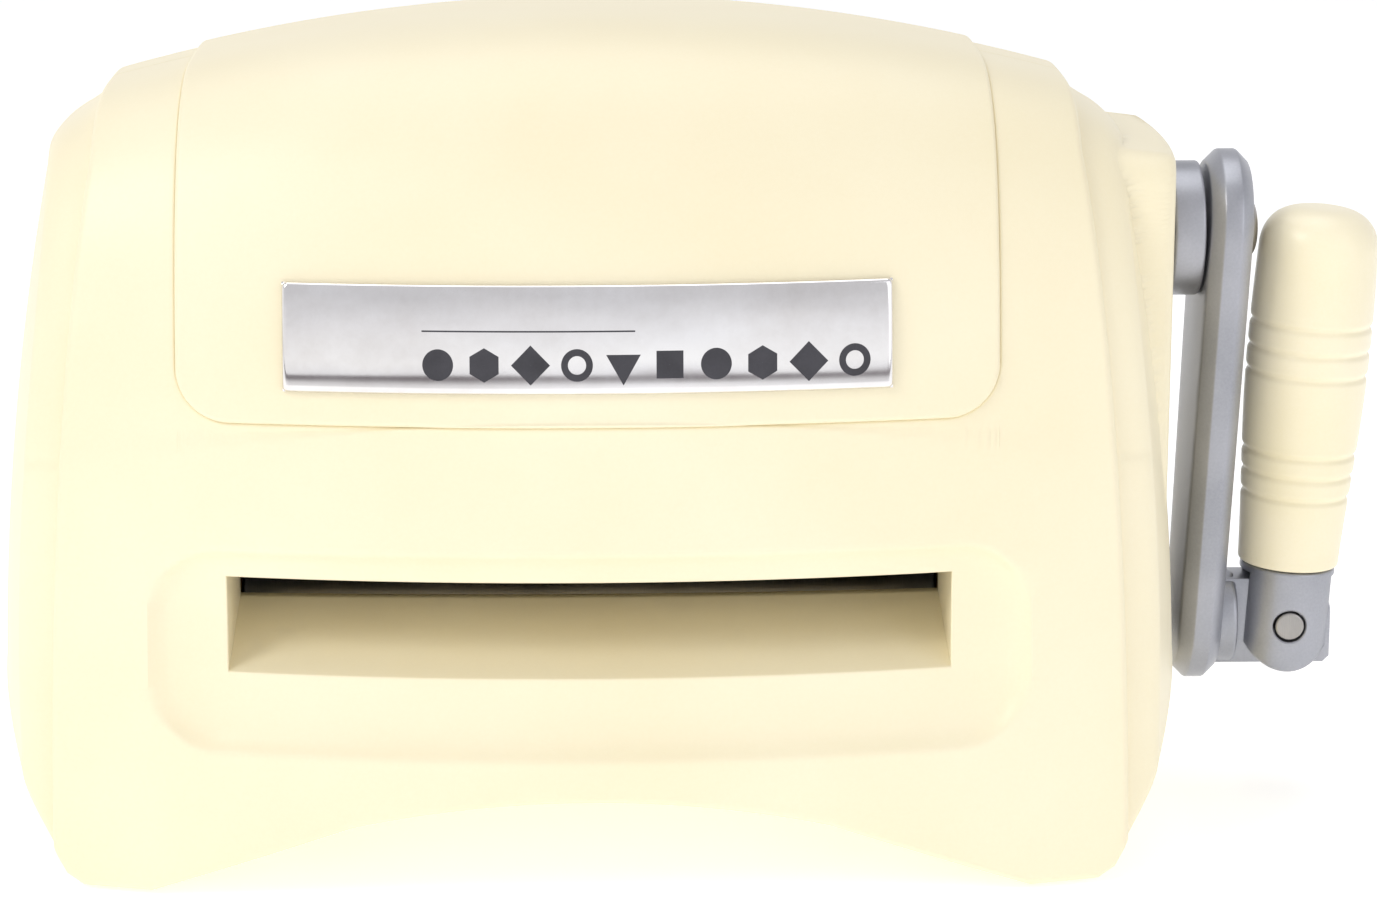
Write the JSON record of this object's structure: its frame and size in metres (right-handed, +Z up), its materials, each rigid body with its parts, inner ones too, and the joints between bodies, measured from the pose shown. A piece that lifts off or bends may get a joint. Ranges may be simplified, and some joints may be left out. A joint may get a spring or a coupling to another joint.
{
  "type": "die cutting machine",
  "caption": "Hand-cranked roller press that pushes cutting plates through a slot; moulded case on an arched foot, with a folding crank handle on the right.",
  "frame": {"origin": "on the floor, under the middle of the bounding box", "axes": "+X towards the crank handle, +Y from the front to the back, +Z up"},
  "size_m": [0.3294, 0.1708, 0.193],
  "materials": {
    "case": "cream moulded ABS, fine satin",
    "grip_plastic": "cream moulded plastic, satin",
    "cast_metal": "silver-grey painted die casting",
    "chrome": "bright mirror",
    "steel": "machined, light oil",
    "plated_steel": "zinc plated sheet",
    "gear_nylon": "filled nylon",
    "bronze": "sintered bronze, oiled",
    "rubber": "matt"
  },
  "bodies": {
    "case": {"front_shell": "case", "rear_shell": "case", "top_cover": "case", "left_side_cover": "case", "right_side_cover": "case", "name_plate": "chrome", "bottom_cover": "case", "chassis_screw_1": "steel", "chassis_screw_2": "steel", "chassis_screw_3": "steel", "chassis_screw_4": "steel", "front_left_foot": "rubber", "rear_left_foot": "rubber", "front_right_foot": "rubber", "rear_right_foot": "rubber", "base_plate": "plated_steel", "left_frame_plate": "plated_steel", "right_frame_plate": "plated_steel", "upper_front_tie_bar": "steel", "upper_rear_tie_bar": "steel", "lower_front_tie_bar": "steel", "lower_rear_tie_bar": "steel", "gearbox_plate": "plated_steel", "gearbox_post_1": "steel", "gearbox_post_2": "steel", "gearbox_post_3": "steel", "gearbox_post_4": "steel", "left_upper_bush": "bronze", "right_upper_bush": "bronze", "left_lower_bush": "bronze", "right_lower_bush": "bronze", "inner_crank_bush": "bronze", "outer_crank_bush": "bronze"},
    "upper_roller_set": {"upper_roller": "steel", "driven_gear": "gear_nylon", "upper_roller_gear": "steel"},
    "lower_roller_set": {"lower_roller": "steel", "lower_roller_gear": "steel"},
    "crank": {"crank_shaft": "steel", "crank_pinion": "steel", "crank_hub": "cast_metal", "crank_arm": "cast_metal", "arm_screw": "steel"},
    "handle": {"handle_fork": "cast_metal", "hinge_pin": "steel", "grip_snap_ring": "steel"},
    "turning_grip": {"grip": "grip_plastic"}
  },
  "joints": [
    {"name": "crank_turn", "type": "hinge", "parent": "case", "child": "crank", "pos_m": [0.07619, 0, 0.13875], "axis": [1, 0, 0], "continuous": true},
    {"name": "upper_roller_turn", "type": "hinge", "parent": "case", "child": "upper_roller_set", "pos_m": [-0.02381, 0, 0.087], "axis": [1, 0, 0], "continuous": true},
    {"name": "lower_roller_turn", "type": "hinge", "parent": "case", "child": "lower_roller_set", "pos_m": [-0.02381, 0, 0.047], "axis": [1, 0, 0], "continuous": true},
    {"name": "handle_fold", "type": "hinge", "parent": "crank", "child": "handle", "pos_m": [0.14519, 0, 0.04275], "axis": [0, 1, 0], "range_deg": [0, 86.6]},
    {"name": "grip_spin", "type": "hinge", "parent": "handle", "child": "turning_grip", "pos_m": [0.14519, 0, 0.04275], "axis": [0.0593, 0, 0.9982], "continuous": true}
  ],
  "couplings": [
    {"joint": "upper_roller_turn", "follows": "crank_turn", "ratio": -0.4375},
    {"joint": "lower_roller_turn", "follows": "crank_turn", "ratio": 0.4375}
  ]
}
